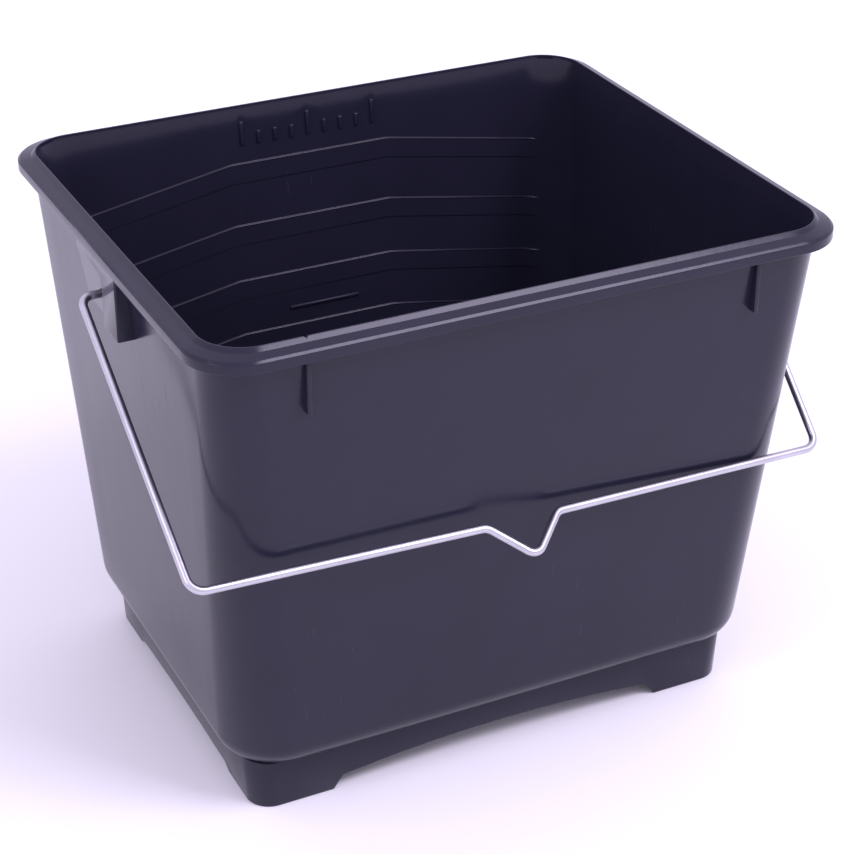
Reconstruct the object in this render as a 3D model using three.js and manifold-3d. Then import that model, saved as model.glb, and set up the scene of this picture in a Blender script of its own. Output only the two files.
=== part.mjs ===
// Rectangular moulded scuttle for paint and rollers, with a hinged wire bail.
// Millimetres, +Z up. The long side runs along X and the front faces -Y.

import * as THREE from 'three';
import { mergeVertices } from 'three/addons/utils/BufferGeometryUtils.js';
import Module from 'manifold-3d';

const wasm = await Module();
wasm.setup();

// Container: outside sizes are half lengths from the middle of the bucket.
const bucketHeight = 200;
const wallThickness = 1.8;
const floorThickness = 2;
const floorUnderside = 19;
const floorBend = 11;
const lowLevel = 30;
const lowHalfLength = 107.3;
const lowHalfWidth = 82.5;
const lowCorner = 22.6;
const topHalfLength = 116.2;
const topHalfWidth = 99;
const topCorner = 17.6;

// Rim: a raised bead round the opening, a flat flange and a lip turned down at its edge.
const rimReach = 4.5;
const rimCorner = 19.9;
const beadWidth = 2.4;
const beadHeight = 1.8;
const flangeThickness = 1.8;
const lipThickness = 1.6;
const lipDepth = 5;

// Skirt under the floor that forms the feet, with an arched cut in each side.
const skirtHalfLength = 98.9;
const skirtHalfWidth = 73.9;
const skirtCorner = 9.3;
const skirtDraft = 1.1;
const skirtThickness = 2;
const frontArch = { halfSpan: 68.1, stepRun: 3.6, stepHeight: 5.5, height: 9.7 };
const sideArch = { halfSpan: 47.5, stepRun: 3.5, stepHeight: 2.2, height: 3.2 };

// Ribs under the rim that keep stacked buckets apart. The back has the front's, half a turn round.
const ribThickness = 1.6;
const ribHeight = 18.7;
const ribBelowLip = 1.6;
const ribInset = 3.4;
const ribPlaces = [-85, 82.8];

// Hinge lugs, one at each end: a hollow block with a sloping plate that the wire's pin goes through.
const pivotDrop = 20;
const lugHalfWidth = 20;
const lugBelowPivot = 10;
const lugWall = 1.8;
const plateStart = -6;
const plateAbovePivot = 10;
const plateSink = 3.5;

// Raised chevrons, a short bar and a row of plain level ticks on the inside of the back wall.
const ridgeHeight = 0.8;
const ridgeBand = 1.4;
const ridgeDrops = [23.5, 48.8, 71.8, 94.6, 117.4, 140.2];
const ridgeFlat = 33.5;
const ridgeSlope = 0.17;
const ridgeEndMargin = 9;
const shortBar = { from: -12.8, to: 17.8, drop: 87, thickness: 1.2 };
const tickCount = 9;
const tickPitch = 7;
const tickWidth = 1.6;
const tickDrop = 16;
const tickHeight = 5;
const tallTickHeight = 9.5;

// Wire bail. It hangs forward and askew. The four bends of its bar lie a little further along the
// arms, and out of their plane, than a straight bar would: from the left end to the right one.
const wireDiameter = 3;
const pinClearance = 0.35;
const pinEndGap = 0.8;
const legGap = 4.4;
const hookBend = 4;
const cornerBend = 5.5;
const barPastRim = 12.3;
const barRestGap = 4.4;
const barShift = -2;
const barSplay = -2.7;
const leftEnd = { along: -1.7, out: 4 };
const leftShoulder = { along: 1.2, out: 2 };
const notchTip = { along: 0.3, out: 0.8 };
const rightShoulder = { along: 0.8, out: -0.3 };
const rightEnd = { along: -0.1, out: -6.3 };
const notchCentre = -4.3;
const notchHalfWidth = 14.3;
const notchDepth = 15;
const shoulderBend = 5;
const tipBend = 4;

// Fineness of the faceted surfaces.
const cornerSteps = 8;
const bendSteps = 5;
const archSteps = 10;
const holeSides = 24;
const wireSides = 10;
const wireSteps = 180;
const overshoot = 5;

// ---------------------------------------------------------------- sizes that follow

const flangeTop = bucketHeight - beadHeight;
const rimHalfLength = topHalfLength + rimReach;
const rimHalfWidth = topHalfWidth + rimReach;
const lipBottom = flangeTop - lipDepth;
const pivotHeight = bucketHeight - pivotDrop;
const lugBottom = pivotHeight - lugBelowPivot;
const plateTop = pivotHeight + plateAbovePivot;
const wireRadius = wireDiameter / 2;
const legPlace = rimHalfLength + legGap + wireRadius;
const barHalfLength = legPlace + barSplay;
const armLength = Math.hypot(rimHalfWidth, flangeTop - pivotHeight) + barPastRim;

/** Outside half length, half width and corner radius of the container's wall at a height. */
function wallAt(height) {
  const share = (height - lowLevel) / (bucketHeight - lowLevel);
  return {
    halfLength: THREE.MathUtils.lerp(lowHalfLength, topHalfLength, share),
    halfWidth: THREE.MathUtils.lerp(lowHalfWidth, topHalfWidth, share),
    corner: THREE.MathUtils.lerp(lowCorner, topCorner, share),
  };
}

/** The arms' angle from straight down at which the bar hangs its gap in front of the front wall. */
function hangingAngle() {
  const slope = (topHalfWidth - lowHalfWidth) / (bucketHeight - lowLevel);
  const lean = Math.atan(slope);
  const reach = wallAt(pivotHeight).halfWidth + barRestGap / Math.cos(lean);
  return Math.asin(reach * Math.cos(lean) / armLength) - lean;
}

// ---------------------------------------------------------------- solids

/** A closed geometry as a solid, with its shared vertices merged. */
function solidOf(geometry) {
  const bare = geometry.clone();
  bare.deleteAttribute('normal');
  bare.deleteAttribute('uv');
  const merged = mergeVertices(bare, 1e-4);
  return new wasm.Manifold(new wasm.Mesh({
    numProp: 3,
    vertProperties: new Float32Array(merged.attributes.position.array),
    triVerts: new Uint32Array(merged.index.array),
  }));
}

/** A solid's faces as a geometry. */
function geometryOf(solid) {
  const mesh = solid.getMesh();
  const geometry = new THREE.BufferGeometry();
  geometry.setAttribute('position', new THREE.BufferAttribute(mesh.vertProperties, 3));
  geometry.setIndex(new THREE.BufferAttribute(mesh.triVerts, 1));
  geometry.computeVertexNormals();
  return geometry;
}

/** The corner points of a rounded rectangle at a height, counter-clockwise from +X. */
function ringPoints({ halfLength, halfWidth, corner, height }) {
  const points = [];
  for (let quarter = 0; quarter < 4; quarter += 1) {
    const signX = quarter === 0 || quarter === 3 ? 1 : -1;
    const signY = quarter < 2 ? 1 : -1;
    for (let step = 0; step <= cornerSteps; step += 1) {
      const angle = (quarter + step / cornerSteps) * Math.PI / 2;
      const x = signX * (halfLength - corner) + corner * Math.cos(angle);
      const y = signY * (halfWidth - corner) + corner * Math.sin(angle);
      points.push(new THREE.Vector3(x, y, height));
    }
  }
  return points;
}

/** A solid lofted through rounded rectangles, listed from the lowest up. */
function loft(rings) {
  const loops = rings.map(ringPoints);
  const count = loops[0].length;
  const positions = loops.flat().flatMap((point) => point.toArray());
  const last = (loops.length - 1) * count;
  const faces = [];
  for (let level = 0; level < loops.length - 1; level += 1) {
    for (let i = 0; i < count; i += 1) {
      const a = level * count + i;
      const b = level * count + (i + 1) % count;
      faces.push(a, b, b + count, a, b + count, a + count);
    }
  }
  for (let i = 1; i < count - 1; i += 1) {
    faces.push(0, i + 1, i);
    faces.push(last, last + i, last + i + 1);
  }
  const geometry = new THREE.BufferGeometry();
  geometry.setAttribute('position', new THREE.Float32BufferAttribute(positions, 3));
  geometry.setIndex(faces);
  return solidOf(geometry);
}

/** A box between two corners. */
function box(low, high) {
  const geometry = new THREE.BoxGeometry(high[0] - low[0], high[1] - low[1], high[2] - low[2]);
  geometry.translate((low[0] + high[0]) / 2, (low[1] + high[1]) / 2, (low[2] + high[2]) / 2);
  return solidOf(geometry);
}

/** An outline in X and Z, extruded along Y between two places. */
function alongY(outline, from, to) {
  const settings = { depth: to - from, bevelEnabled: false, curveSegments: archSteps };
  const geometry = new THREE.ExtrudeGeometry(outline, settings);
  geometry.rotateX(Math.PI / 2);
  geometry.translate(0, to, 0);
  return solidOf(geometry);
}

/** A closed outline through points. */
function outlineThrough(points) {
  return new THREE.Shape(points.map(([x, z]) => new THREE.Vector2(x, z)));
}

/** A solid and its copy half a turn round the bucket's middle. */
function bothEnds(solid) {
  return solid.add(solid.rotate([0, 0, 180]));
}

// ---------------------------------------------------------------- container

/** The container's wall set in by an amount all round, with a bent edge round its floor. */
function container(inset, underside, bend, top) {
  const rings = [];
  const bendTop = underside + bend;
  for (let step = 0; step < bendSteps; step += 1) {
    const angle = step / bendSteps * Math.PI / 2;
    rings.push({ height: bendTop - bend * Math.cos(angle), inward: bend * (1 - Math.sin(angle)) });
  }
  rings.push({ height: bendTop, inward: 0 }, { height: top, inward: 0 });
  return loft(rings.map(({ height, inward }) => {
    const wall = wallAt(height);
    return {
      height,
      halfLength: wall.halfLength - inset - inward,
      halfWidth: wall.halfWidth - inset - inward,
      corner: wall.corner - inset - inward,
    };
  }));
}

/** A rounded plate that follows the rim's outside edge, set in by an amount. */
function rimPlate(inset, low, high) {
  const ring = {
    halfLength: rimHalfLength - inset,
    halfWidth: rimHalfWidth - inset,
    corner: rimCorner - inset,
  };
  return loft([{ ...ring, height: low }, { ...ring, height: high }]);
}

/** The flange with its turned-down lip, and the bead round the opening. */
function makeRim() {
  const flange = rimPlate(0, lipBottom, flangeTop);
  const underneath = rimPlate(lipThickness, lipBottom - overshoot, flangeTop - flangeThickness);
  const beadInset = rimHalfLength - (topHalfLength - wallThickness) - beadWidth;
  const bead = rimPlate(beadInset, flangeTop - flangeThickness, bucketHeight);
  return flange.subtract(underneath).add(bead);
}

/** The skirt as an open ring that reaches up into the floor's bent edge. */
function makeSkirt() {
  const top = floorUnderside + floorThickness / 2;
  const ring = (inset, height, draft) => ({
    height,
    halfLength: skirtHalfLength - inset + draft,
    halfWidth: skirtHalfWidth - inset + draft,
    corner: skirtCorner - inset + draft,
  });
  const outside = loft([ring(0, 0, 0), ring(0, top, skirtDraft)]);
  const inside = loft([
    ring(skirtThickness, -overshoot, 0),
    ring(skirtThickness, floorUnderside, skirtDraft),
  ]);
  const acrossFront = alongY(archOutline(frontArch), -rimHalfWidth, rimHalfWidth);
  const acrossSide = alongY(archOutline(sideArch), -rimHalfLength, rimHalfLength).rotate([0, 0, 90]);
  return outside.subtract(inside).subtract(acrossFront).subtract(acrossSide);
}

/** A cut with a sloping step at each end and a low arch between them. */
function archOutline({ halfSpan, stepRun, stepHeight, height }) {
  const inner = halfSpan - stepRun;
  const outline = new THREE.Shape();
  outline.moveTo(-halfSpan, -overshoot);
  outline.lineTo(halfSpan, -overshoot);
  outline.lineTo(halfSpan, 0);
  outline.lineTo(inner, stepHeight);
  outline.quadraticCurveTo(0, 2 * height - stepHeight, -inner, stepHeight);
  outline.lineTo(-halfSpan, 0);
  outline.closePath();
  return outline;
}

/** The front's stacking ribs and, half a turn round, the back's. */
function makeRibs() {
  const top = lipBottom - ribBelowLip;
  const depth = rimHalfWidth - ribInset;
  const ribs = ribPlaces.map((x) => box(
    [x, -depth, top - ribHeight],
    [x + ribThickness, -wallAt(lowLevel).halfWidth, top],
  ));
  return bothEnds(wasm.Manifold.union(ribs));
}

/** How far out the sloping plate's outer face lies at a height, from the middle of the bucket. */
function plateFace(height) {
  return rimHalfLength - plateSink * (plateTop - height) / (plateTop - lugBottom);
}

/** One hinge lug at the +X end: block, plate, the hollows behind them and the pin's hole. */
function makeLug() {
  const root = wallAt(lugBottom).halfLength - wallThickness;
  const top = flangeTop - flangeThickness / 2;
  const ceiling = plateTop + lugWall / 2;
  const below = lugBottom - overshoot;
  const block = outlineThrough([
    [root, lugBottom],
    [rimHalfLength, lugBottom],
    [rimHalfLength, top],
    [root, top],
  ]);
  const plate = outlineThrough([
    [root, lugBottom],
    [plateFace(lugBottom), lugBottom],
    [rimHalfLength, plateTop],
    [rimHalfLength, top],
    [root, top],
  ]);
  const blockHollow = outlineThrough([
    [root, below],
    [rimHalfLength - lugWall, below],
    [rimHalfLength - lugWall, ceiling],
    [root, ceiling],
  ]);
  const plateHollow = outlineThrough([
    [root, below],
    [plateFace(below) - lugWall, below],
    [plateFace(ceiling) - lugWall, ceiling],
    [root, ceiling],
  ]);
  const holeRadius = wireRadius + pinClearance;
  const holeLength = 2 * (rimReach + wallThickness);
  const hole = new THREE.CylinderGeometry(holeRadius, holeRadius, holeLength, holeSides);
  hole.rotateZ(Math.PI / 2);
  hole.translate(rimHalfLength, 0, pivotHeight);
  return alongY(block, -lugHalfWidth, plateStart)
    .add(alongY(plate, plateStart, lugHalfWidth))
    .subtract(alongY(blockHollow, -lugHalfWidth + lugWall, plateStart - lugWall))
    .subtract(alongY(plateHollow, plateStart, lugHalfWidth - lugWall))
    .subtract(solidOf(hole));
}

/** The same lug at both ends, mirrored, so that both blocks are towards the front. */
function makeLugs() {
  const lug = makeLug();
  return lug.add(lug.mirror([1, 0, 0]));
}

/** Chevrons, the short bar and the level ticks, as solids that run back through the wall. */
function makeMarks() {
  const back = rimHalfWidth;
  const reach = wallAt(lowLevel).halfLength - ridgeEndMargin;
  const drop = (reach - ridgeFlat) * ridgeSlope;
  const line = [[-reach, -drop], [-ridgeFlat, 0], [ridgeFlat, 0], [reach, -drop]];
  const ridges = ridgeDrops.map((down) => {
    const lower = line.map(([x, z]) => [x, bucketHeight - down + z - ridgeBand / 2]);
    const upper = line.map(([x, z]) => [x, bucketHeight - down + z + ridgeBand / 2]);
    return alongY(outlineThrough([...lower, ...upper.reverse()]), 0, back);
  });
  const barMiddle = bucketHeight - shortBar.drop;
  const bar = box(
    [shortBar.from, 0, barMiddle - shortBar.thickness / 2],
    [shortBar.to, back, barMiddle + shortBar.thickness / 2],
  );
  const foot = bucketHeight - tickDrop;
  const ticks = Array.from({ length: tickCount }, (_, i) => {
    const x = (i - (tickCount - 1) / 2) * tickPitch;
    const height = i % 4 === 0 ? tallTickHeight : tickHeight;
    return box([x - tickWidth / 2, 0, foot], [x + tickWidth / 2, back, foot + height]);
  });
  return wasm.Manifold.union([...ridges, bar, ...ticks]);
}

/** The whole moulding, from its outside, less its inside with the marks left standing. */
function makeBucket() {
  const innerFloor = floorUnderside + floorThickness;
  const innerBend = floorBend - floorThickness;
  const above = bucketHeight + overshoot;
  const outside = container(0, floorUnderside, floorBend, flangeTop);
  const inside = container(wallThickness, innerFloor, innerBend, above);
  const clearOfMarks = container(wallThickness + ridgeHeight, innerFloor, innerBend, above);
  const hollow = inside.subtract(makeMarks()).add(clearOfMarks);
  return outside
    .add(makeRim())
    .add(makeSkirt())
    .add(makeLugs())
    .add(makeRibs())
    .subtract(hollow);
}

// ---------------------------------------------------------------- wire bail

/** A path of straight runs through points, with a round bend of its own radius at each inner point. */
function bentPath(points, bends) {
  const path = new THREE.CurvePath();
  let from = points[0];
  for (let i = 1; i < points.length - 1; i += 1) {
    const before = points[i - 1].clone().sub(points[i]).normalize();
    const after = points[i + 1].clone().sub(points[i]).normalize();
    const cut = bends[i - 1] / Math.tan(before.angleTo(after) / 2);
    const start = points[i].clone().addScaledVector(before, cut);
    const end = points[i].clone().addScaledVector(after, cut);
    path.add(new THREE.LineCurve3(from, start));
    path.add(new THREE.QuadraticBezierCurve3(start, points[i], end));
    from = end;
  }
  path.add(new THREE.LineCurve3(from, points[points.length - 1]));
  return path;
}

/** A point of the bail: across the bucket, along the arms from the pivot, and out of the arms' plane. */
function bailPoint(across, along, out) {
  const angle = hangingAngle();
  return new THREE.Vector3(
    across,
    -along * Math.sin(angle) - out * Math.cos(angle),
    pivotHeight - along * Math.cos(angle) + out * Math.sin(angle),
  );
}

/** A point of the bar, at a place across the bucket, shifted from where a straight bar would lie. */
function barPoint(across, shift, push = 0) {
  return bailPoint(across, armLength + shift.along + push, shift.out);
}

/** The bail: one round wire from pin to pin, bent at the hooks, the bar's corners and the notch. */
function makeBail() {
  const pinEnd = wallAt(pivotHeight).halfLength + pinEndGap;
  const path = bentPath([
    bailPoint(-pinEnd, 0, 0),
    bailPoint(-legPlace, 0, 0),
    barPoint(barShift - barHalfLength, leftEnd),
    barPoint(notchCentre - notchHalfWidth, leftShoulder),
    barPoint(notchCentre, notchTip, notchDepth),
    barPoint(notchCentre + notchHalfWidth, rightShoulder),
    barPoint(barShift + barHalfLength, rightEnd),
    bailPoint(legPlace, 0, 0),
    bailPoint(pinEnd, 0, 0),
  ], [hookBend, cornerBend, shoulderBend, tipBend, shoulderBend, cornerBend, hookBend]);
  const section = new THREE.Shape();
  section.absarc(0, 0, wireRadius, 0, 2 * Math.PI);
  return new THREE.ExtrudeGeometry(section, {
    steps: wireSteps,
    curveSegments: wireSides / 2,
    bevelEnabled: false,
    extrudePath: path,
  });
}

// ---------------------------------------------------------------- parts

/** A named mesh with its own material. */
function part(name, geometry, color, roughness, metalness) {
  const mesh = new THREE.Mesh(geometry, new THREE.MeshStandardMaterial({ color, roughness, metalness }));
  mesh.name = name;
  return mesh;
}

const scuttle = new THREE.Group();
scuttle.add(part('bucket_body', geometryOf(makeBucket()), 0x26242c, 0.4, 0));
scuttle.add(part('wire_bail', makeBail(), 0xb9b9c2, 0.3, 1));

// The origin is the middle of the underside of everything, bail included.
const bounds = new THREE.Box3().setFromObject(scuttle);
const middle = bounds.getCenter(new THREE.Vector3());
scuttle.position.set(-middle.x, -middle.y, -bounds.min.z);

export default scuttle;
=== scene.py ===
"""Black moulded paint scuttle with a zinc-plated wire bail, built round its CAD frame.

Shapes are worked out in millimetres from the middle of the bucket's foot, with X along it, Y from
front to back and Z up. solid_from() turns them into metres in the frame.
"""

import math

import bmesh
import bpy
import numpy as np
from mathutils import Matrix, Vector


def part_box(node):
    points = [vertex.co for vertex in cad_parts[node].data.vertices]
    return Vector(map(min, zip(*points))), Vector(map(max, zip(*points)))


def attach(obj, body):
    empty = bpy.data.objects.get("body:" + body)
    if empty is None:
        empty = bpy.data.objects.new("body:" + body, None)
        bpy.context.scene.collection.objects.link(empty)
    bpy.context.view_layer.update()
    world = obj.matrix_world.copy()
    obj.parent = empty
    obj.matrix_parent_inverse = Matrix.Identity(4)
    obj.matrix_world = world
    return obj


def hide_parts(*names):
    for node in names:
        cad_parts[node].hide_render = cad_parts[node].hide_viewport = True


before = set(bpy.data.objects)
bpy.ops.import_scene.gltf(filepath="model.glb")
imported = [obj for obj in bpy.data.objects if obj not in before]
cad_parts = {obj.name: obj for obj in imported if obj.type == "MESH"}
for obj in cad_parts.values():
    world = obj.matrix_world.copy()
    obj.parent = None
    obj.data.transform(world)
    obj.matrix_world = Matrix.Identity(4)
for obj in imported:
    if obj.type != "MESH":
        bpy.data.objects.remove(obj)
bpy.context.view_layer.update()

MM = 0.001

# ------------------------------------------------------------------ sizes

# The bucket's box gives its middle, its height and how far its rim reaches.
BOX_LOW, BOX_HIGH = (np.array(corner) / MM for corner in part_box("bucket_body"))
MIDDLE = (BOX_LOW + BOX_HIGH) / 2 * (1, 1, 0)
HEIGHT = BOX_HIGH[2]
RIM_HALF_LENGTH, RIM_HALF_WIDTH = (BOX_HIGH - BOX_LOW)[:2] / 2

# Wall: outside half lengths at two heights, straight between them.
WALL = 1.8
FLOOR = 2.0
FLOOR_UNDERSIDE = 19.0
FLOOR_BEND = 11.0
LOW_LEVEL = 30.0
LOW_HALF_LENGTH = 107.3
LOW_HALF_WIDTH = 82.5
LOW_CORNER = 22.6
TOP_CORNER = 17.6

# Rim: sloping bead round the opening, flange that falls a little, and a lip turned down at its edge.
RIM_REACH = 4.5
RIM_CORNER = 19.9
BEAD_HEIGHT = 1.8
BEAD_TOP = 0.5
BEAD_SLOPE = 1.4
BEAD_ROUND = 0.2
FLANGE = 1.8
FLANGE_FALL = 0.5
FLANGE_CHAMFER = 0.9
FLANGE_ROUND = 0.5
LIP = 1.6
LIP_DEPTH = 5.0
LIP_ROUND = 0.4
UNDER_FLANGE_ROUND = 0.6

# Skirt that forms the feet, with an arched cut in each side.
SKIRT_HALF_LENGTH = 98.9
SKIRT_HALF_WIDTH = 73.9
SKIRT_CORNER = 9.3
SKIRT_DRAFT = 1.1
SKIRT_WALL = 2.0
FRONT_ARCH = {"half_span": 68.1, "step_run": 3.6, "step_height": 5.5, "height": 9.7}
SIDE_ARCH = {"half_span": 47.5, "step_run": 3.5, "step_height": 2.2, "height": 3.2}

# Small nicks in the bead, each at a place along X and Y, and a speck moulded into the front wall.
NICK_HALF_WIDTH = 0.8
NICK_DEPTH = 0.7
FRONT_NICK = -83.9
RIGHT_NICK = -20.9
SPECK = (6.9, -85.8, 48.9)

# Stacking ribs under the rim, on the front, and on the back half a turn round.
RIB = 1.6
RIB_HEIGHT = 18.7
RIB_BELOW_LIP = 1.6
RIB_INSET = 3.4
RIB_PLACES = (-85.0, 82.8)

# Hinge lugs: a block at each end, with a sloping recess that the wire's pin goes through.
PIVOT_DROP = 20.0
LUG_HALF_WIDTH = 20.0
LUG_BELOW_PIVOT = 10.0
LUG_WALL = 1.8
RECESS_START = -6.0
RECESS_ABOVE_PIVOT = 10.0
RECESS_TOP_SINK = 0.6
RECESS_LOW_SINK = 3.5
RECESS_CORNER = 3.0
FLUSH_GAP = 0.02

# Raised chevrons, a short bar and plain level ticks on the inside of the back wall.
MARK_HEIGHT = 0.8
RIDGE_HEIGHT = 0.5
RIDGE_HALF_WIDTH = 0.45
BAND_HEIGHT = 0.3
BAND_DEPTH = 7.6
BAND_EDGE = 0.7
RIDGE_DROPS = (23.5, 48.8, 71.8, 94.6, 117.4, 140.2)
RIDGE_FLAT = 33.5
RIDGE_SLOPE = 0.17
RIDGE_REACH = 102.0
RIDGE_END = 3.0
SHORT_BAR = {"low": -12.8, "high": 17.8, "drop": 87.0}
TICK_COUNT = 9
TICK_PITCH = 7.0
TICK_WIDTH = 1.6
TICK_DROP = 16.0
TICK_HEIGHT = 5.0
TALL_TICK_HEIGHT = 9.5

# Wire bail, hanging forward and askew. Each bend of its bar lies a little further along the arms, and
# out of their plane, than a straight bar would.
WIRE = 3.0
PIN_CLEARANCE = 0.35
PIN_END_GAP = 0.8
LEG_GAP = 4.4
HOOK_BEND = 4.0
CORNER_BEND = 5.5
BAR_PAST_RIM = 12.3
BAR_REST_GAP = 4.4
BAR_SHIFT = -2.0
BAR_SPLAY = -2.7
LEFT_END = {"along": -1.7, "out": 4.0}
LEFT_SHOULDER = {"along": 1.2, "out": 2.0}
NOTCH_TIP = {"along": 0.3, "out": 0.8}
RIGHT_SHOULDER = {"along": 0.8, "out": -0.3}
RIGHT_END = {"along": -0.1, "out": -6.3}
NOTCH_CENTRE = -4.3
NOTCH_HALF_WIDTH = 14.3
NOTCH_DEPTH = 15.0
SHOULDER_BEND = 5.0
TIP_BEND = 4.0

# Sizes that follow.
TOP_HALF_LENGTH = RIM_HALF_LENGTH - RIM_REACH
TOP_HALF_WIDTH = RIM_HALF_WIDTH - RIM_REACH
FLANGE_TOP = HEIGHT - BEAD_HEIGHT
FLANGE_UNDERSIDE = FLANGE_TOP - FLANGE
LIP_BOTTOM = FLANGE_TOP - LIP_DEPTH
PIVOT_HEIGHT = HEIGHT - PIVOT_DROP
LUG_BOTTOM = PIVOT_HEIGHT - LUG_BELOW_PIVOT
RECESS_TOP = PIVOT_HEIGHT + RECESS_ABOVE_PIVOT
BURIED_TOP = FLANGE_TOP - FLANGE / 2
HALF_WALL = WALL / 2

OVERSHOOT = 5.0
CORNER_STEPS = 16
BEND_STEPS = 10
SHARP_ANGLE = math.radians(35)


# ------------------------------------------------------------------ mesh helpers

def smooth_step(value, low, high):
    """0 below low, 1 above high, and a smooth S between them: 3t^2 - 2t^3 with t the share of the way."""
    share = np.clip((value - low) / (high - low), 0, 1)
    return share * share * (3 - 2 * share)


def solid_from(name, points, faces):
    """A closed mesh from points in millimetres about the bucket's middle, with its faces turned outwards."""
    mesh = bpy.data.meshes.new(name)
    mesh.from_pydata(((points + MIDDLE) * MM).tolist(), [], faces)
    shape = bmesh.new()
    shape.from_mesh(mesh)
    bmesh.ops.recalc_face_normals(shape, faces=shape.faces)
    shape.to_mesh(mesh)
    shape.free()
    piece = bpy.data.objects.new(name, mesh)
    bpy.context.scene.collection.objects.link(piece)
    return piece


def grid_faces(rows, columns, joined_rows=False):
    """Four-sided faces of a grid of points whose columns close into loops.

    The last row is joined to the first, or both are capped."""
    bands = rows if joined_rows else rows - 1
    row, column = np.meshgrid(np.arange(bands), np.arange(columns), indexing="ij")
    below, beside = (row + 1) % rows, (column + 1) % columns
    here, under = row * columns, below * columns
    corners = (here + column, here + beside, under + beside, under + column)
    faces = np.stack(corners, axis=-1).reshape(-1, 4).tolist()
    if not joined_rows:
        faces.append(list(range(columns)))
        faces.append(list(range(rows * columns - columns, rows * columns)))
    return faces


def bake_modifiers(piece):
    """Puts what the modifiers make into the piece's own mesh."""
    evaluated = piece.evaluated_get(bpy.context.evaluated_depsgraph_get())
    mesh = bpy.data.meshes.new_from_object(evaluated)
    piece.modifiers.clear()
    piece.data = mesh
    return piece


def soften(piece, width, segments=3):
    """Rounds a solid's sharp edges."""
    bevel = piece.modifiers.new("soften", "BEVEL")
    bevel.width = width * MM
    bevel.segments = segments
    bevel.limit_method = "ANGLE"
    bevel.angle_limit = SHARP_ANGLE
    return bake_modifiers(piece)


def combine(piece, tools, operation):
    """Joins solids to a piece, or cuts it with them, and removes them."""
    for tool in tools:
        boolean = piece.modifiers.new(operation.lower(), "BOOLEAN")
        boolean.operation = operation
        boolean.solver = "EXACT"
        boolean.object = tool
        bake_modifiers(piece)
        bpy.data.objects.remove(tool)
    return piece


def shade(piece):
    """Smooth shading, with a crease wherever two faces meet at a sharp angle."""
    piece.data.shade_smooth()
    piece.data.set_sharp_from_angle(angle=SHARP_ANGLE)
    return piece


def rounded_line(corners, rounds, steps=5):
    """A line through corners with an arc of its own radius at each inner one, in any number of axes.

    Each arc touches both runs at radius * tan(turn / 2) from the corner, and its points are
    centre + radius * (cos(t) * a + sin(t) * b), with a towards its start and b along the first run."""
    corners = np.asarray(corners, float)
    parts = [corners[:1]]
    for before, corner, after, radius in zip(corners, corners[1:], corners[2:], rounds):
        into = (corner - before) / np.linalg.norm(corner - before)
        out = (after - corner) / np.linalg.norm(after - corner)
        turn = math.acos(np.clip(into @ out, -1, 1))
        start = corner - into * radius * math.tan(turn / 2)
        inward = (out - into * (into @ out)) / math.sin(turn)
        centre = start + inward * radius
        angle = np.linspace(0, turn, steps + 1)[:, None]
        parts.append(centre + radius * (np.sin(angle) * into - np.cos(angle) * inward))
    parts.append(corners[-1:])
    return np.concatenate(parts)


def slab(name, outline, near, far, axes):
    """A solid with a flat outline carried straight from near to far.

    outline is in the first two of axes and runs along the third. near and far are one place, or one
    for each point of the outline."""
    outline = np.asarray(outline, float)
    points = np.empty((2, len(outline), 3))
    points[:, :, axes[0]] = outline[:, 0]
    points[:, :, axes[1]] = outline[:, 1]
    points[0, :, axes[2]] = near
    points[1, :, axes[2]] = far
    return solid_from(name, points.reshape(-1, 3), grid_faces(2, len(outline)))


def rectangle(low, high):
    """The corners of a rectangle."""
    return np.array([(low[0], low[1]), (high[0], low[1]), (high[0], high[1]), (low[0], high[1])], float)


# ------------------------------------------------------------------ outlines

def wall_outline(height, outward=0.0):
    """Half length, half width and corner radius of the wall's outside at a height, grown by a distance.

    The sizes run straight between the low level and the top. Inwards the corner shrinks by the whole
    distance. Outwards it grows by the share that brings it to the rim's own corner."""
    share = (height - LOW_LEVEL) / (HEIGHT - LOW_LEVEL)
    half_length = LOW_HALF_LENGTH + (TOP_HALF_LENGTH - LOW_HALF_LENGTH) * share + outward
    half_width = LOW_HALF_WIDTH + (TOP_HALF_WIDTH - LOW_HALF_WIDTH) * share + outward
    corner_growth = (RIM_CORNER - TOP_CORNER) / RIM_REACH
    corner = LOW_CORNER + (TOP_CORNER - LOW_CORNER) * share
    corner = corner + np.where(outward > 0, outward * corner_growth, outward)
    return half_length, half_width, corner


def loop_columns(corner_steps, along_length, along_width):
    """Columns round a rounded rectangle, anticlockwise from the middle of its right end's back corner.

    Each column is an anchor, which is a corner's centre or a share of the way between two, and the
    direction outwards from it. The shares run from -1 to 1 and leave out the ends."""
    anchors, outwards = [], []
    signs = ((1, 1), (-1, 1), (-1, -1), (1, -1))
    for quarter, (sign_x, sign_y) in enumerate(signs):
        angle = (quarter + np.linspace(0, 1, corner_steps + 1)) * math.pi / 2
        anchors.append(np.tile((sign_x, sign_y), (corner_steps + 1, 1)))
        outwards.append(np.stack((np.cos(angle), np.sin(angle)), axis=1))
        straight = along_length if quarter % 2 == 0 else along_width
        shares = np.sort(straight)[::-1] if quarter < 2 else np.sort(straight)
        fixed = np.full(len(shares), sign_y if quarter % 2 == 0 else sign_x)
        anchors.append(np.stack((shares, fixed) if quarter % 2 == 0 else (fixed, shares), axis=1))
        facing = (0, sign_y) if quarter % 2 == 0 else (sign_x, 0)
        outwards.append(np.tile(facing, (len(shares), 1)))
    return np.concatenate(anchors).astype(float), np.concatenate(outwards).astype(float)


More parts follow.
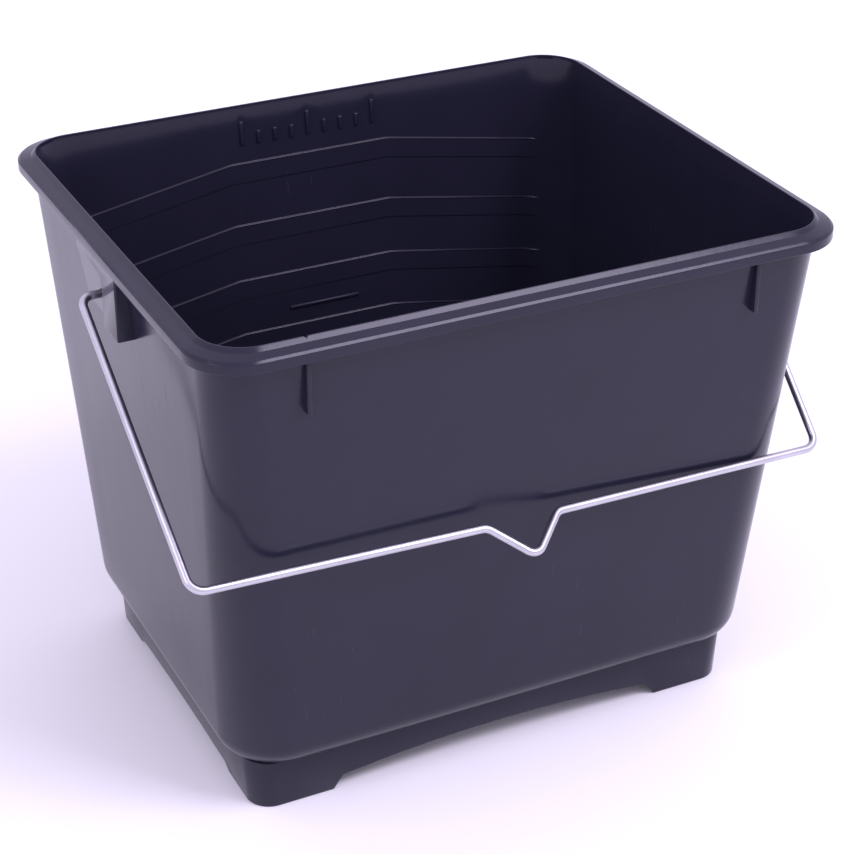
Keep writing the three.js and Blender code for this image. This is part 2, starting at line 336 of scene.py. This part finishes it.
def loop_points(columns, outline, heights):
    """Points of rounded rectangles: anchor * (half size - corner) + corner * the way outwards."""
    anchors, outwards = columns
    half_length, half_width, corner = outline
    x = anchors[:, 0] * (half_length - corner) + outwards[:, 0] * corner
    y = anchors[:, 1] * (half_width - corner) + outwards[:, 1] * corner
    return np.stack((x, y, np.broadcast_to(heights, x.shape)), axis=-1)


# ------------------------------------------------------------------ bucket shell

def ridge_relief(level):
    """How far the back wall's inside stands proud at a level.

    With t the way from a crest over its half width, the crest is (1 + cos(pi * t)) / 2, and a shallow
    band lies below it."""
    away = level[..., None] - (HEIGHT - np.array(RIDGE_DROPS))
    share = np.clip(away / RIDGE_HALF_WIDTH, -1, 1)
    crest = (1 + np.cos(math.pi * share)) / 2
    band = smooth_step(away, -BAND_DEPTH - BAND_EDGE, -BAND_DEPTH)
    band = band * (1 - smooth_step(away, -RIDGE_HALF_WIDTH, 0))
    return (RIDGE_HEIGHT * crest + BAND_HEIGHT * band).sum(axis=-1)


def inside_levels():
    """Heights of the inside wall's rows: close together across each crest and each band's lower edge."""
    beside = RIDGE_HALF_WIDTH + 0.15
    crest = np.concatenate(([-beside], np.linspace(-RIDGE_HALF_WIDTH, RIDGE_HALF_WIDTH, 9), [beside]))
    low, high = -BAND_DEPTH - BAND_EDGE, -BAND_DEPTH
    edge = np.concatenate(([low - 0.15], np.linspace(low, high, 5), [high + 0.15]))
    marks = (HEIGHT - np.array(RIDGE_DROPS))[:, None] + np.concatenate((crest, edge))
    plain = np.linspace(LOW_LEVEL, FLANGE_TOP, 22)
    clear = np.abs(plain[:, None] - marks.ravel()).min(axis=1) > 1.0
    return np.sort(np.concatenate((plain[clear], marks.ravel())))


def shell_profile():
    """Rows of the shell from the middle of its inside floor, up, over the rim and down to its underside.

    Returns each row's outline height, distance outwards from the wall's outside, own height, and
    whether it may follow the chevrons."""
    quarter = np.linspace(0, math.pi / 2, BEND_STEPS + 1)
    inner_bend = FLOOR_BEND - FLOOR
    bend_in = np.stack((
        -WALL - inner_bend * (1 - np.sin(quarter)),
        FLOOR_UNDERSIDE + FLOOR + inner_bend * (1 - np.cos(quarter)),
    ), axis=1)[:-1]
    levels = inside_levels()
    wall_in = np.stack((np.full(len(levels), -WALL), levels), axis=1)
    bead_edge = BEAD_TOP - WALL
    rim = rounded_line(
        [
            (-WALL, FLANGE_TOP + 0.3),
            (-WALL, HEIGHT),
            (bead_edge, HEIGHT),
            (bead_edge + BEAD_SLOPE, HEIGHT - BEAD_SLOPE),
            (RIM_REACH - FLANGE_CHAMFER, FLANGE_TOP - FLANGE_FALL),
            (RIM_REACH, FLANGE_TOP - FLANGE_FALL - FLANGE_CHAMFER),
            (RIM_REACH, LIP_BOTTOM),
            (RIM_REACH - LIP, LIP_BOTTOM),
            (RIM_REACH - LIP, FLANGE_UNDERSIDE),
            (UNDER_FLANGE_ROUND + 0.3, FLANGE_UNDERSIDE),
        ],
        [
            BEAD_ROUND,
            BEAD_ROUND,
            BEAD_ROUND,
            FLANGE_ROUND,
            FLANGE_ROUND,
            LIP_ROUND,
            LIP_ROUND,
            UNDER_FLANGE_ROUND,
        ],
    )
    fillet = np.stack((
        UNDER_FLANGE_ROUND * (1 - np.sin(quarter)),
        FLANGE_UNDERSIDE - UNDER_FLANGE_ROUND * (1 - np.cos(quarter)),
    ), axis=1)
    plain = np.linspace(FLANGE_UNDERSIDE - UNDER_FLANGE_ROUND, LOW_LEVEL, 12)[1:]
    wall_out = np.stack((np.zeros(len(plain)), plain), axis=1)
    bend_out = np.stack((
        -FLOOR_BEND * (1 - np.cos(quarter)),
        LOW_LEVEL - FLOOR_BEND * np.sin(quarter),
    ), axis=1)[1:]
    sections = (bend_in, wall_in, rim, fillet, wall_out, bend_out)
    rows = np.concatenate(sections)
    kind = np.repeat(np.arange(len(sections)), [len(section) for section in sections])
    outline_height = np.where(kind == 2, HEIGHT, rows[:, 1])
    return outline_height, rows[:, 0], rows[:, 1], kind == 1


def make_shell():
    """Wall, floor and rim as one closed sweep of a profile round a rounded rectangle.

    Where a row may follow the chevrons it drops by slope * (|x| - flat) beyond the flat middle, less
    near the top, the floor and the front, and slides along the wall as it drops. The relief stands
    inwards from there."""
    outline_height, outward, height, bends = shell_profile()
    near_bends = RIDGE_FLAT + np.array((-2.0, 0.0, 2.0))
    inner, outer = np.linspace(0, RIDGE_FLAT - 5, 4)[1:], np.linspace(RIDGE_FLAT + 8, 96, 8)
    across = np.concatenate((inner, near_bends, outer)) / (TOP_HALF_LENGTH - TOP_CORNER)
    along_length = np.concatenate((-across, (0.0,), across))
    columns = loop_columns(CORNER_STEPS, along_length, np.linspace(-1, 1, 14)[1:-1])
    anchors, outwards = columns

    flat_outline = wall_outline(outline_height[:, None], outward[:, None])
    flat = loop_points(columns, flat_outline, height[:, None])
    follow = smooth_step(height, LOW_LEVEL, LOW_LEVEL + 20)
    follow = follow * (1 - smooth_step(height, HEIGHT - 20, FLANGE_TOP))
    follow = np.where(bends, follow, 0)[:, None] * smooth_step(anchors[:, 1], 0, 1)
    drop = RIDGE_SLOPE * np.clip(np.abs(flat[..., 0]) - RIDGE_FLAT, 0, None) * follow
    outline = wall_outline(outline_height[:, None] - drop, outward[:, None])
    points = loop_points(columns, outline, height[:, None] - drop)

    at_back = outwards[:, 1] > 0
    ends = 1 - smooth_step(np.abs(points[..., 0]), RIDGE_REACH - RIDGE_END, RIDGE_REACH)
    relief = np.where(bends, ridge_relief(height), 0)[:, None] * ends * at_back
    points[..., :2] -= outwards * relief[..., None]
    return solid_from("bucket_moulding", points.reshape(-1, 3), grid_faces(*points.shape[:2]))


# ------------------------------------------------------------------ skirt, ribs, lugs and marks

def arch_height(place, half_span, step_run, step_height, height):
    """Height of an arched cut at a place.

    Outside the span it is 0. Then comes a sloping step, and past it step + (height - step) * (1 - t^2)
    with t the place over the inner half span."""
    away = np.abs(place)
    inner = half_span - step_run
    step = step_height * np.clip((half_span - away) / step_run, 0, 1)
    arch = step_height + (height - step_height) * (1 - (place / inner) ** 2)
    return np.where(away < inner, arch, step)


def arch_places(arch, half_straight):
    """Shares along a straight side at which a skirt needs a column: at each step and along the arch."""
    inner = arch["half_span"] - arch["step_run"]
    curve = np.linspace(-inner, inner, 31)
    return np.concatenate(((-arch["half_span"],), curve, (arch["half_span"],))) / half_straight


def make_skirt():
    """A closed ring with four edges, its lower ones following the arches, widening upwards by its draft."""
    half_straights = (SKIRT_HALF_LENGTH - SKIRT_CORNER, SKIRT_HALF_WIDTH - SKIRT_CORNER)
    columns = loop_columns(
        CORNER_STEPS,
        arch_places(FRONT_ARCH, half_straights[0]),
        arch_places(SIDE_ARCH, half_straights[1]),
    )
    anchors, outwards = columns
    across_front = arch_height(anchors[:, 0] * half_straights[0], **FRONT_ARCH) * (outwards[:, 0] == 0)
    across_side = arch_height(anchors[:, 1] * half_straights[1], **SIDE_ARCH) * (outwards[:, 1] == 0)
    bottom = across_front + across_side
    top = np.full(len(bottom), FLOOR_UNDERSIDE + FLOOR * 0.7)
    heights = np.stack((top, bottom, bottom, top))
    inset = np.array((0, 0, SKIRT_WALL, SKIRT_WALL))[:, None]
    grow = SKIRT_DRAFT * heights / FLOOR_UNDERSIDE - inset
    outline = (SKIRT_HALF_LENGTH + grow, SKIRT_HALF_WIDTH + grow, SKIRT_CORNER + grow)
    points = loop_points(columns, outline, heights)
    skirt = solid_from("skirt", points.reshape(-1, 3), grid_faces(4, len(bottom), joined_rows=True))
    return soften(skirt, 0.5)


def make_ribs():
    """Thin upright plates just below the lip, from the middle of the wall out to near the rim's edge."""
    ribs = []
    top = LIP_BOTTOM - RIB_BELOW_LIP
    for side in (-1, 1):
        for place in RIB_PLACES:
            outline = rectangle((place, top - RIB_HEIGHT), (place + RIB, top)) * (-side, 1)
            root = side * (wall_outline(outline[:, 1])[1] - HALF_WALL)
            rib = slab("rib", outline, root, side * (RIM_HALF_WIDTH - RIB_INSET), (0, 2, 1))
            ribs.append(soften(rib, 0.3))
    return ribs


def recess_face(height):
    """How far out the recess's sloping face lies at a height."""
    share = (RECESS_TOP - height) / (RECESS_TOP - LUG_BOTTOM)
    return RIM_HALF_LENGTH - RECESS_TOP_SINK - (RECESS_LOW_SINK - RECESS_TOP_SINK) * share


def make_lug(end):
    """One hinge lug: a softened block, less its sloping recess, two hollows and the pin's hole."""
    def upright(name, low, high, reach, from_wall=HALF_WALL):
        """A slab between two corners in Y and Z, from the wall to a reach that may follow the height."""
        outline = rectangle(low, high)
        root = wall_outline(outline[:, 1])[0] - from_wall
        far = reach(outline[:, 1]) if callable(reach) else reach
        return slab(name, outline, end * root, end * far, (1, 2, 0))

    high = (LUG_HALF_WIDTH, BURIED_TOP)
    lug = upright("lug", (-LUG_HALF_WIDTH, LUG_BOTTOM), high, RIM_HALF_LENGTH - FLUSH_GAP)
    soften(lug, 0.5)
    below = LUG_BOTTOM - OVERSHOOT
    recess = rounded_line(
        [
            (LUG_HALF_WIDTH + OVERSHOOT, below),
            (LUG_HALF_WIDTH + OVERSHOOT, RECESS_TOP),
            (RECESS_START, RECESS_TOP),
            (RECESS_START, below),
        ],
        [0.1, RECESS_CORNER],
    )
    beyond = RIM_HALF_LENGTH + OVERSHOOT
    cut = slab("recess", recess, end * recess_face(recess[:, 1]), end * beyond, (1, 2, 0))
    ceiling = RECESS_TOP + LUG_WALL / 2
    block_hollow = upright(
        "block_hollow",
        (-LUG_HALF_WIDTH + LUG_WALL, below),
        (RECESS_START - LUG_WALL, ceiling),
        RIM_HALF_LENGTH - LUG_WALL,
        WALL,
    )
    plate_hollow = upright(
        "plate_hollow",
        (RECESS_START, below),
        (LUG_HALF_WIDTH - LUG_WALL, ceiling),
        lambda height: recess_face(height) - LUG_WALL,
        WALL,
    )
    angle = np.linspace(0, 2 * math.pi, 48, endpoint=False)
    circle = (WIRE / 2 + PIN_CLEARANCE) * np.stack((np.cos(angle), np.sin(angle)), axis=1)
    circle = circle + (0, PIVOT_HEIGHT)
    behind = RIM_HALF_LENGTH - 2 * RIM_REACH
    pin_hole = slab("pin_hole", circle, end * behind, end * beyond, (1, 2, 0))
    return combine(lug, [cut, block_hollow, plate_hollow, pin_hole], "DIFFERENCE")


def back_wall_bar(name, low, high):
    """A raised bar on the inside of the back wall, between two corners in X and Z."""
    outline = rectangle(low, high)
    wall = wall_outline(outline[:, 1], -WALL)[1]
    return soften(slab(name, outline, wall - MARK_HEIGHT, wall + HALF_WALL, (0, 2, 1)), 0.3)


def make_marks():
    """Plain level ticks under the rim, every fourth one taller, and the short bar between two chevrons."""
    foot = HEIGHT - TICK_DROP
    marks = []
    for index in range(TICK_COUNT):
        left = (index - (TICK_COUNT - 1) / 2) * TICK_PITCH - TICK_WIDTH / 2
        tall = TALL_TICK_HEIGHT if index % 4 == 0 else TICK_HEIGHT
        marks.append(back_wall_bar("tick", (left, foot), (left + TICK_WIDTH, foot + tall)))
    level = HEIGHT - SHORT_BAR["drop"]
    low, high = (SHORT_BAR["low"], level - 0.6), (SHORT_BAR["high"], level + 0.6)
    marks.append(back_wall_bar("short_bar", low, high))
    return marks


def make_nick(name, place, across, edge, axes):
    """A cutter for one V-shaped nick at a place along the bead. It runs across the bead at that edge."""
    outline = [
        (place - NICK_HALF_WIDTH, HEIGHT),
        (place, HEIGHT - NICK_DEPTH),
        (place + NICK_HALF_WIDTH, HEIGHT),
        (place, HEIGHT + 1),
    ]
    bead = edge - RIM_REACH
    return slab(name, outline, across * (bead - WALL - 1), across * (bead + 0.2), axes)


def make_moulding():
    """The bucket as one solid, as it leaves its mould, with its nicks."""
    parts = [make_skirt(), *make_ribs(), make_lug(-1), make_lug(1), *make_marks()]
    nicks = [
        make_nick("front_nick", FRONT_NICK, -1, RIM_HALF_WIDTH, (0, 2, 1)),
        make_nick("right_nick", RIGHT_NICK, 1, RIM_HALF_LENGTH, (1, 2, 0)),
    ]
    return shade(combine(combine(make_shell(), parts, "UNION"), nicks, "DIFFERENCE"))


# ------------------------------------------------------------------ wire bail

def make_bail():
    """A round wire swept along its bent centre line.

    A point is centre + radius * (cos(t) * side + sin(t) * up), with side square to the run and to
    the way out of the bail's plane. The ends are rounded over by rings that draw in. The attribute
    along_wire keeps where each point lies on the wire before it was bent."""
    arm = math.hypot(RIM_HALF_WIDTH, FLANGE_TOP - PIVOT_HEIGHT) + BAR_PAST_RIM
    lean = math.atan((TOP_HALF_WIDTH - LOW_HALF_WIDTH) / (HEIGHT - LOW_LEVEL))
    reach = wall_outline(PIVOT_HEIGHT)[1] + BAR_REST_GAP / math.cos(lean)
    hang = math.asin(reach * math.cos(lean) / arm) - lean
    down = np.array((0, -math.sin(hang), -math.cos(hang)))
    out_of_plane = np.array((0, -math.cos(hang), math.sin(hang)))
    leg = RIM_HALF_LENGTH + LEG_GAP + WIRE / 2
    bar_half = leg + BAR_SPLAY
    pin_end = wall_outline(PIVOT_HEIGHT)[0] + PIN_END_GAP

    def bail_point(across, along, out=0.0):
        """Across the bucket, along the arms from the pivot and out of their plane."""
        return np.array((across, 0, PIVOT_HEIGHT)) + along * down + out * out_of_plane

    def bar_point(across, shift, push=0.0):
        """A point of the bar, shifted from where a straight bar would lie."""
        return bail_point(across, arm + shift["along"] + push, shift["out"])

    centre = rounded_line(
        [
            bail_point(-pin_end, 0),
            bail_point(-leg, 0),
            bar_point(BAR_SHIFT - bar_half, LEFT_END),
            bar_point(NOTCH_CENTRE - NOTCH_HALF_WIDTH, LEFT_SHOULDER),
            bar_point(NOTCH_CENTRE, NOTCH_TIP, NOTCH_DEPTH),
            bar_point(NOTCH_CENTRE + NOTCH_HALF_WIDTH, RIGHT_SHOULDER),
            bar_point(BAR_SHIFT + bar_half, RIGHT_END),
            bail_point(leg, 0),
            bail_point(pin_end, 0),
        ],
        [HOOK_BEND, CORNER_BEND, SHOULDER_BEND, TIP_BEND, SHOULDER_BEND, CORNER_BEND, HOOK_BEND],
        steps=14,
    )
    ends = np.array((0.0, 0.12, 0.35))
    first, last = centre[1] - centre[0], centre[-2] - centre[-1]
    first, last = first / np.linalg.norm(first), last / np.linalg.norm(last)
    centre = np.concatenate((
        centre[0] + ends[:, None] * first,
        centre[1:-1],
        centre[-1] + ends[::-1, None] * last,
    ))
    radius = np.full(len(centre), WIRE / 2)
    radius[:3] = WIRE / 2 * np.array((0.78, 0.94, 1.0))
    radius[-3:] = radius[2::-1]

    run = np.gradient(centre, axis=0)
    run /= np.linalg.norm(run, axis=1)[:, None]
    side = np.cross(run, out_of_plane)
    side /= np.linalg.norm(side, axis=1)[:, None]
    up = np.cross(side, run)
    angle = np.linspace(0, 2 * math.pi, 28, endpoint=False)
    ring = np.cos(angle)[None, :, None] * side[:, None] + np.sin(angle)[None, :, None] * up[:, None]
    points = centre[:, None] + radius[:, None, None] * ring
    bail = solid_from("bail_wire", points.reshape(-1, 3), grid_faces(*points.shape[:2]))

    length = np.concatenate(((0,), np.cumsum(np.linalg.norm(np.diff(centre, axis=0), axis=1))))
    straight = np.empty(points.shape)
    straight[..., 0] = radius[:, None] * np.cos(angle)
    straight[..., 1] = radius[:, None] * np.sin(angle)
    straight[..., 2] = length[:, None]
    attribute = bail.data.attributes.new("along_wire", "FLOAT_VECTOR", "POINT")
    attribute.data.foreach_set("vector", (straight * MM).astype(np.float32).ravel())
    return shade(bail)


# ------------------------------------------------------------------ finishes

class Socket:
    """One output of a shader node. Arithmetic on it adds Math nodes to its finish."""

    def __init__(self, finish, output):
        self.finish = finish
        self.output = output

    def math(self, operation, first, second=0.0):
        return self.finish.node("ShaderNodeMath", {"operation": operation}, {0: first, 1: second})

    def __add__(self, other):
        return self.math("ADD", self, other)

    __radd__ = __add__

    def __sub__(self, other):
        return self.math("SUBTRACT", self, other)

    def __rsub__(self, other):
        return self.math("SUBTRACT", other, self)

    def __mul__(self, other):
        return self.math("MULTIPLY", self, other)

    __rmul__ = __mul__

    def __pow__(self, other):
        return self.math("POWER", self, other)

    def __abs__(self):
        return self.math("ABSOLUTE", self)

    def at_least(self, other):
        return self.math("MAXIMUM", self, other)

    def at_most(self, other):
        return self.math("MINIMUM", self, other)


class Finish:
    """A material in the making."""

    def __init__(self, name):
        self.material = bpy.data.materials.new(name)
        self.material.use_nodes = True
        self.tree = self.material.node_tree
        self.tree.nodes.clear()

    def node(self, kind, settings, sockets, output=0):
        """Adds a node: its settings first, then its sockets' values or links. Returns one output."""
        node = self.tree.nodes.new(kind)
        for name, value in settings.items():
            setattr(node, name, value)
        for name, value in sockets.items():
            if isinstance(value, Socket):
                self.tree.links.new(value.output, node.inputs[name])
            else:
                node.inputs[name].default_value = value
        return Socket(self, node.outputs[output])

    def stretched(self, place, scale, turn=(0, 0, 0)):
        """A place scaled along each axis, after a turn."""
        return self.node("ShaderNodeMapping", {}, {"Vector": place, "Rotation": turn, "Scale": scale})

    def noise(self, place, scale, detail=2.0, roughness=0.5):
        """Cloudy noise from 0 to 1."""
        settings = {"noise_dimensions": "3D"}
        sockets = {"Vector": place, "Scale": scale, "Detail": detail, "Roughness": roughness}
        return self.node("ShaderNodeTexNoise", settings, sockets)

    def between(self, value, low, high):
        """0 below low, 1 above high, and a smooth S between them."""
        settings = {"interpolation_type": "SMOOTHSTEP", "clamp": True}
        ends = {"Value": value, "From Min": low, "From Max": high}
        return self.node("ShaderNodeMapRange", settings, ends)

    def colour_mix(self, share, first, second):
        """One colour turning into another."""
        return self.node("ShaderNodeMix", {"data_type": "RGBA"}, {0: share, 6: first, 7: second}, output=2)

    def bump(self, height, distance, below=None):
        """A surface normal from a height of 0 to 1, over another bump if there is one."""
        sockets = {"Height": height, "Distance": distance, "Strength": 1.0}
        if below is not None:
            sockets["Normal"] = below
        return self.node("ShaderNodeBump", {}, sockets)

    def surface(self, **sockets):
        """Ends the material with a Principled surface, its sockets named with underscores for spaces."""
        named = {name.replace("_", " "): value for name, value in sockets.items()}
        shader = self.node("ShaderNodeBsdfPrincipled", {}, named)
        end = self.tree.nodes.new("ShaderNodeOutputMaterial")
        self.tree.links.new(shader.output, end.inputs["Surface"])
        return self.material


def outline_distance(finish, place, half_length, half_width, corner):
    """How far a place lies outside a rounded rectangle, in metres, negative inside it.

    With q the way past the corner's centre on each axis, it is the length of q's positive part, plus
    q's larger part where that is negative, less the corner."""
    parts = "ShaderNodeSeparateXYZ"
    across = finish.node(parts, {}, {0: place}, 0) - MIDDLE[0] * MM
    through = finish.node(parts, {}, {0: place}, 1) - MIDDLE[1] * MM
    past_x = abs(across) - (half_length - corner) * MM
    past_y = abs(through) - (half_width - corner) * MM
    outside = (past_x.at_least(0) ** 2 + past_y.at_least(0) ** 2) ** 0.5
    inside = past_x.math("MAXIMUM", past_x, past_y).at_most(0)
    return outside + inside - corner * MM


def black_moulding():
    """Black polypropylene with a violet cast: a fine mould grain, faint flow marks, rubs and worn edges."""
    finish = Finish("black_polypropylene")
    place = finish.node("ShaderNodeTexCoord", {}, {}, output=3)
    height = finish.node("ShaderNodeSeparateXYZ", {}, {0: place}, 2)

    grain = finish.noise(place, 1900, detail=3)
    cloud = finish.noise(place, 38, detail=2)
    flow = finish.noise(finish.stretched(place, (46, 46, 5)), 1.0, detail=3)
    streaks = finish.noise(finish.stretched(place, (900, 900, 14), (0.1, 0.06, 0)), 1.0, detail=2)
    hairlines = finish.between(streaks, 0.66, 0.74) * finish.between(finish.noise(place, 17), 0.5, 0.68)

    from_rim = abs(outline_distance(finish, place, RIM_HALF_LENGTH, RIM_HALF_WIDTH, RIM_CORNER))
    at_rim = finish.between(from_rim, 0.0012, 0.0003)
    at_rim = at_rim * finish.between(height, (FLANGE_TOP - 1.6) * MM, (FLANGE_TOP - 0.5) * MM)
    on_bead = finish.between(height, (HEIGHT - 0.35) * MM, (HEIGHT - 0.05) * MM)
    at_feet = finish.between(height, 0.0014, 0.0003)
    rubbed = finish.between(finish.noise(place, 420, detail=4), 0.48, 0.66)
    speck_place = tuple((np.array(SPECK) + MIDDLE) * MM)
    between = {0: place, 1: speck_place}
    from_speck = finish.node("ShaderNodeVectorMath", {"operation": "DISTANCE"}, between, 1)
    speck = finish.between(from_speck, 0.0008, 0.0003)
    worn = ((at_rim * 0.6 + on_bead * 0.25 + at_feet) * rubbed + speck).at_most(1.0)

    plain = finish.colour_mix(cloud, (0.0135, 0.0135, 0.0255, 1), (0.0175, 0.0175, 0.0325, 1))
    colour = finish.colour_mix((worn * 0.5 + hairlines * 0.12).at_most(1.0), plain, (0.06, 0.055, 0.075, 1))
    gloss = 0.14 + cloud * 0.05 + flow * 0.05 + hairlines * 0.12 + worn * 0.15

    wavy = finish.bump(flow, 0.00012)
    normal = finish.bump(grain, 0.00001, wavy)
    return finish.surface(Base_Color=colour, Roughness=gloss, Normal=normal, IOR=1.34)


def zinc_wire():
    """Bright zinc plate on drawn steel wire: fine lines, cloudy gloss and duller specks."""
    finish = Finish("zinc_plated_wire")
    place = finish.node("ShaderNodeAttribute", {"attribute_name": "along_wire"}, {}, output=1)
    drawn = finish.noise(finish.stretched(place, (2600, 2600, 60)), 1.0, detail=3)
    cloud = finish.noise(finish.stretched(place, (260, 260, 90)), 1.0, detail=3)
    specks = finish.between(finish.noise(place, 1500, detail=2), 0.62, 0.72)
    bright = finish.colour_mix(cloud, (0.47, 0.465, 0.5, 1), (0.62, 0.615, 0.65, 1))
    colour = finish.colour_mix(specks * 0.5, bright, (0.4, 0.39, 0.43, 1))
    gloss = 0.24 + cloud * 0.12 + drawn * 0.08 + specks * 0.1
    normal = finish.bump(drawn, 0.00002)
    return finish.surface(Base_Color=colour, Metallic=1.0, Roughness=gloss, Normal=normal)


def pale_floor():
    """Plain matt white."""
    finish = Finish("pale_floor")
    return finish.surface(Base_Color=(0.95, 0.95, 0.94, 1), Roughness=0.8)


# ------------------------------------------------------------------ studio

def make_floor():
    """A wide flat floor under the object."""
    reach = 40.0
    mesh = bpy.data.meshes.new("floor")
    corners = [(-reach, -reach, 0), (reach, -reach, 0), (reach, reach, 0), (-reach, reach, 0)]
    mesh.from_pydata(corners, [], [(0, 1, 2, 3)])
    mesh.materials.append(pale_floor())
    floor = bpy.data.objects.new("floor", mesh)
    bpy.context.scene.collection.objects.link(floor)


def place_light(light, place, target):
    """Puts a light in place, looking at a target."""
    piece = bpy.data.objects.new(light.name, light)
    bpy.context.scene.collection.objects.link(piece)
    piece.location = place
    direction = np.array(target, float) - np.array(place, float)
    piece.rotation_euler = direction_angles(direction)


def direction_angles(direction):
    """Turns of a light that looks along a direction."""
    level = math.hypot(direction[0], direction[1])
    return (math.atan2(level, -direction[2]), 0, math.atan2(-direction[0], direction[1]))


def soft_box(name, place, target, size, power, colour):
    """A large square studio light."""
    light = bpy.data.lights.new(name, "AREA")
    light.shape = "SQUARE"
    light.size = size
    light.energy = power
    light.color = colour
    place_light(light, place, target)


def make_studio():
    """An even pale surround and two soft boxes ahead, one at each side."""
    lavender = (1.0, 0.92, 1.18)
    world = bpy.data.worlds.new("studio")
    world.use_nodes = True
    surround = world.node_tree.nodes["Background"]
    surround.inputs["Color"].default_value = (*lavender, 1)
    surround.inputs["Strength"].default_value = 0.98
    bpy.context.scene.world = world
    tint = tuple(channel / max(lavender) for channel in lavender)
    soft_box("left_soft_box", (-1.2, -0.35, 1.15), (0, 0, 0.15), 0.4, 4, tint)
    soft_box("right_soft_box", (0.6, -0.85, 1.42), (0, 0, 0.2), 0.65, 16, tint)
    bpy.context.scene.view_settings.view_transform = "Standard"


def make_camera():
    """The camera stands ahead and to the left, looking down on the bucket."""
    lens = bpy.data.cameras.new("camera")
    lens.lens = 95.505
    camera = bpy.data.objects.new("camera", lens)
    bpy.context.scene.collection.objects.link(camera)
    camera.location = (-0.3280 + MIDDLE[0] * MM, -0.6826 + MIDDLE[1] * MM, 0.5187)
    camera.rotation_euler = (math.radians(60.964), 0, math.radians(-26.066))
    bpy.context.scene.camera = camera


# ------------------------------------------------------------------ the scene

bucket = make_moulding()
bucket.data.materials.clear()
bucket.data.materials.append(black_moulding())
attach(bucket, "bucket")
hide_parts("bucket_body")

bail = make_bail()
bail.data.materials.append(zinc_wire())
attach(bail, "bail")
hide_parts("wire_bail")

make_floor()
make_studio()
make_camera()
